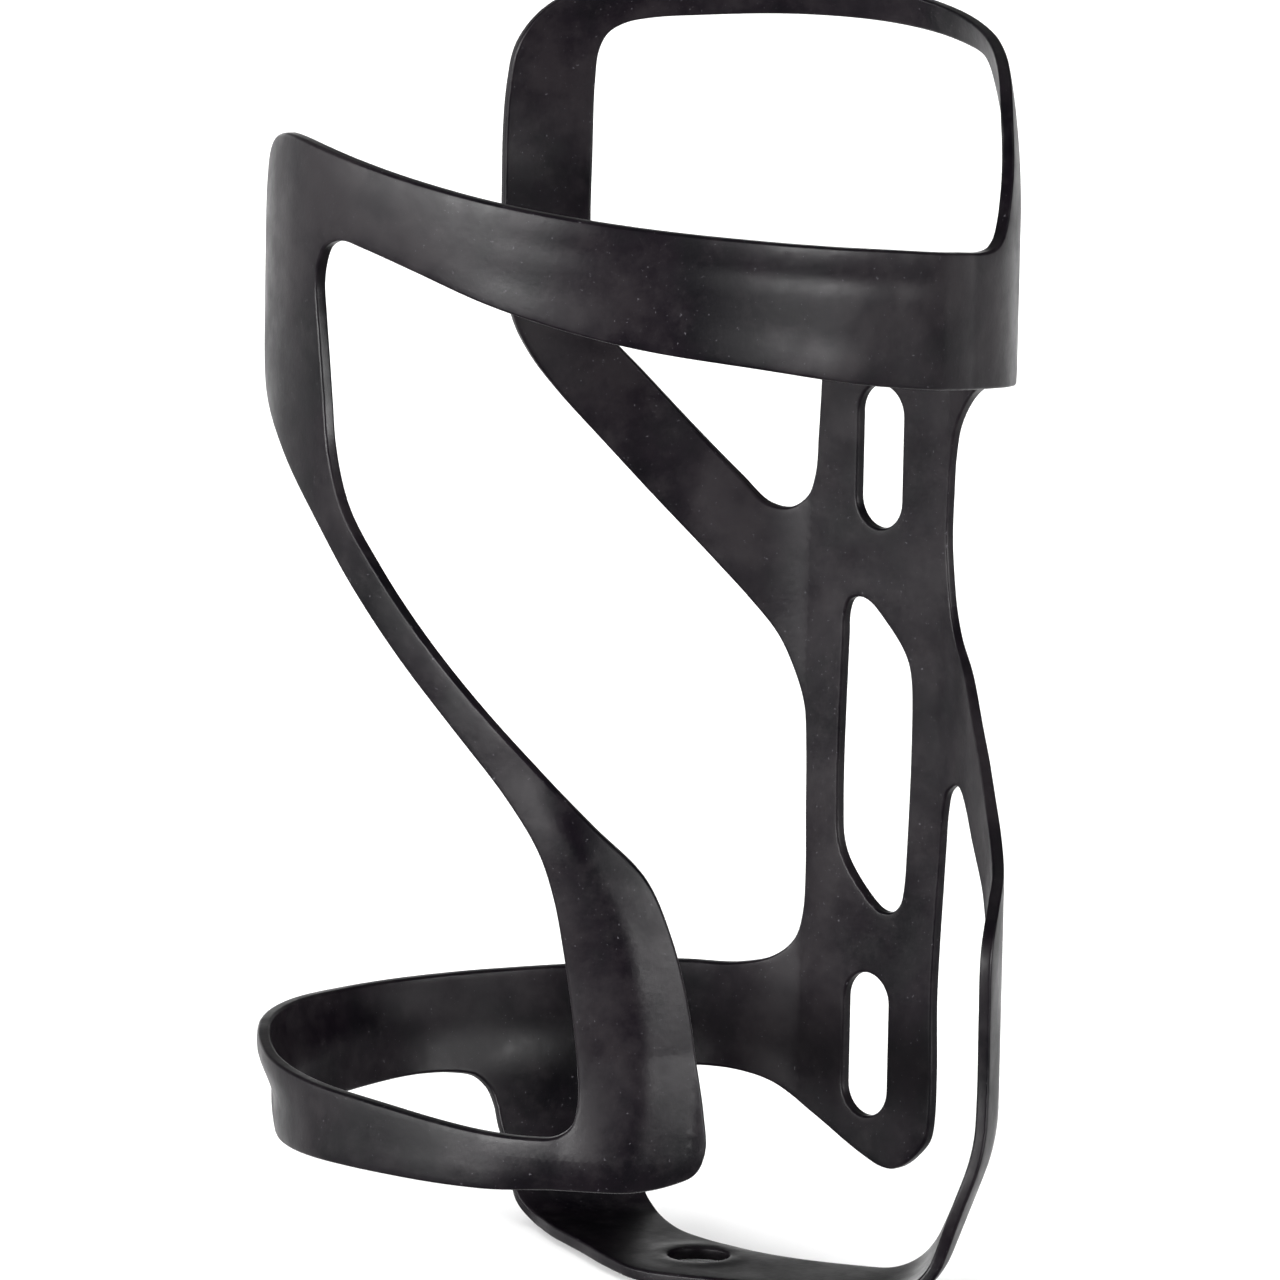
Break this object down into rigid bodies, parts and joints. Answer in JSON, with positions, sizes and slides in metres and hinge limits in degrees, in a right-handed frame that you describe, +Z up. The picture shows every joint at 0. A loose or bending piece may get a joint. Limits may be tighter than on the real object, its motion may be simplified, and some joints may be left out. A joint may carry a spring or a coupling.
{
  "type": "bicycle water bottle cage",
  "caption": "Side-loading bicycle bottle cage: a thin moulded shell with a slotted mounting plate, a wrapping side band and lower ring, a foot under the bottle and a top hoop.",
  "frame": {"origin": "midway between the two bolt slots, on the mounting plate's flat back face", "axes": "+Z runs up the bottle's axis, +Y points out of the back face into the bicycle's frame tube, +X is to the right seen from the bottle's side"},
  "size_m": [0.0785, 0.0786, 0.1354],
  "materials": {
    "composite": "satin black moulded composite with faint mottling"
  },
  "bodies": {
    "root": {"mount_plate": "composite", "side_band": "composite", "front_corner": "composite", "diagonal_arm": "composite", "lower_corner": "composite", "ring_front": "composite", "ring_rear": "composite", "foot_strap": "composite", "riser": "composite", "brace_strut": "composite", "rear_upright": "composite", "top_hoop": "composite", "hoop_leg": "composite"}
  },
  "joints": []
}
